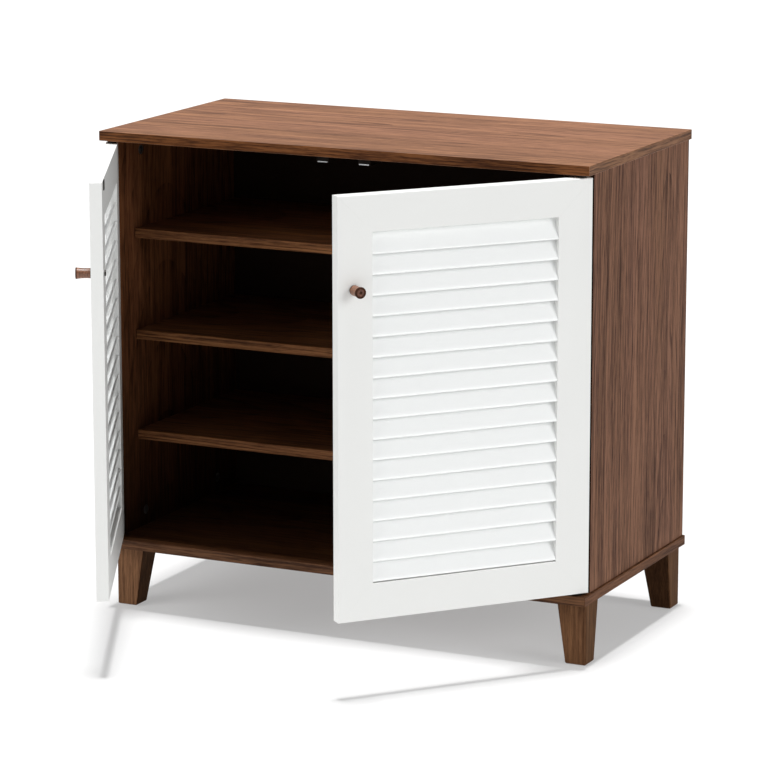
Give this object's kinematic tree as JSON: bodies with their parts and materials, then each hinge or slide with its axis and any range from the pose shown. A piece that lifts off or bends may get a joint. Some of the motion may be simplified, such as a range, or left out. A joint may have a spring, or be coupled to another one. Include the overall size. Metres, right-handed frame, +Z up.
{
  "type": "shoe cabinet",
  "caption": "Low free-standing shoe cabinet with walnut-look carcass, open shelves inside, tapered legs and hinged white louvred doors with turned wooden knobs.",
  "frame": {"origin": "on the floor, under the centre of the top and bottom boards", "axes": "+Z up, +X along the width towards the right-hand door's hinges, -Y towards the doors' side"},
  "size_m": [0.8, 0.7361, 0.743],
  "materials": {
    "walnut_top": "satin walnut decor, grain along the width",
    "walnut_board": "satin walnut decor",
    "walnut_shelf": "satin walnut decor",
    "walnut_leg": "satin stained solid wood, grain along the leg",
    "hardboard": "dull printed hardboard",
    "zinc_steel": "zinc plated",
    "zinc_casting": "die-cast zinc, dull",
    "beech": "unfinished beech",
    "glide_plastic": "matt",
    "nail_steel": "bare steel",
    "nylon": "matt dark brown nylon",
    "catch_plastic": "matt brown plastic",
    "magnet_steel": "plated pole plates",
    "frame_paint": "satin off-white lacquer on wood",
    "slat_paint": "satin white lacquer on wood",
    "knob_wood": "satin turned walnut",
    "dark_screw": "black oxide",
    "dark_plate": "dark plated",
    "pivot_steel": "black oxide"
  },
  "bodies": {
    "carcass": {"top_panel": "walnut_top", "bottom_panel": "walnut_board", "left_side_panel": "walnut_board", "right_side_panel": "walnut_board", "back_panel": "hardboard", "shelf_upper": "walnut_shelf", "shelf_middle": "walnut_shelf", "shelf_lower": "walnut_shelf", "front_left_leg": "walnut_leg", "front_right_leg": "walnut_leg", "back_left_leg": "walnut_leg", "back_right_leg": "walnut_leg", "leg_bolts": "zinc_steel", "leg_inserts": "zinc_steel", "leg_glides": "glide_plastic", "cam_locks": "zinc_casting", "cam_bolts": "zinc_steel", "carcass_dowels": "beech", "shelf_pins": "zinc_steel", "back_nails": "nail_steel", "left_upper_bush": "nylon", "left_lower_bush": "nylon", "right_upper_bush": "nylon", "right_lower_bush": "nylon", "left_catch": "catch_plastic", "right_catch": "catch_plastic", "left_catch_magnet": "magnet_steel", "right_catch_magnet": "magnet_steel", "catch_screws": "zinc_steel"},
    "left_door": {"left_hinge_stile": "frame_paint", "left_free_stile": "frame_paint", "left_top_rail": "frame_paint", "left_bottom_rail": "frame_paint", "left_slats": "slat_paint", "left_door_dowels": "beech", "left_knob": "knob_wood", "left_knob_screw": "dark_screw", "left_strike_plate": "dark_plate", "left_strike_screw": "zinc_steel", "left_upper_pin": "pivot_steel", "left_lower_pin": "pivot_steel"},
    "right_door": {"right_hinge_stile": "frame_paint", "right_free_stile": "frame_paint", "right_top_rail": "frame_paint", "right_bottom_rail": "frame_paint", "right_slats": "slat_paint", "right_door_dowels": "beech", "right_knob": "knob_wood", "right_knob_screw": "dark_screw", "right_strike_plate": "dark_plate", "right_strike_screw": "zinc_steel", "right_upper_pin": "pivot_steel", "right_lower_pin": "pivot_steel"}
  },
  "joints": [
    {"name": "left_door_hinge", "type": "hinge", "parent": "carcass", "child": "left_door", "pos_m": [-0.384, -0.189, 0.4193], "axis": [0, 0, -1], "range_deg": [-63.5, 36.5]},
    {"name": "right_door_hinge", "type": "hinge", "parent": "carcass", "child": "right_door", "pos_m": [0.384, -0.189, 0.4193], "axis": [0, 0, 1], "range_deg": [-50, 50]}
  ]
}
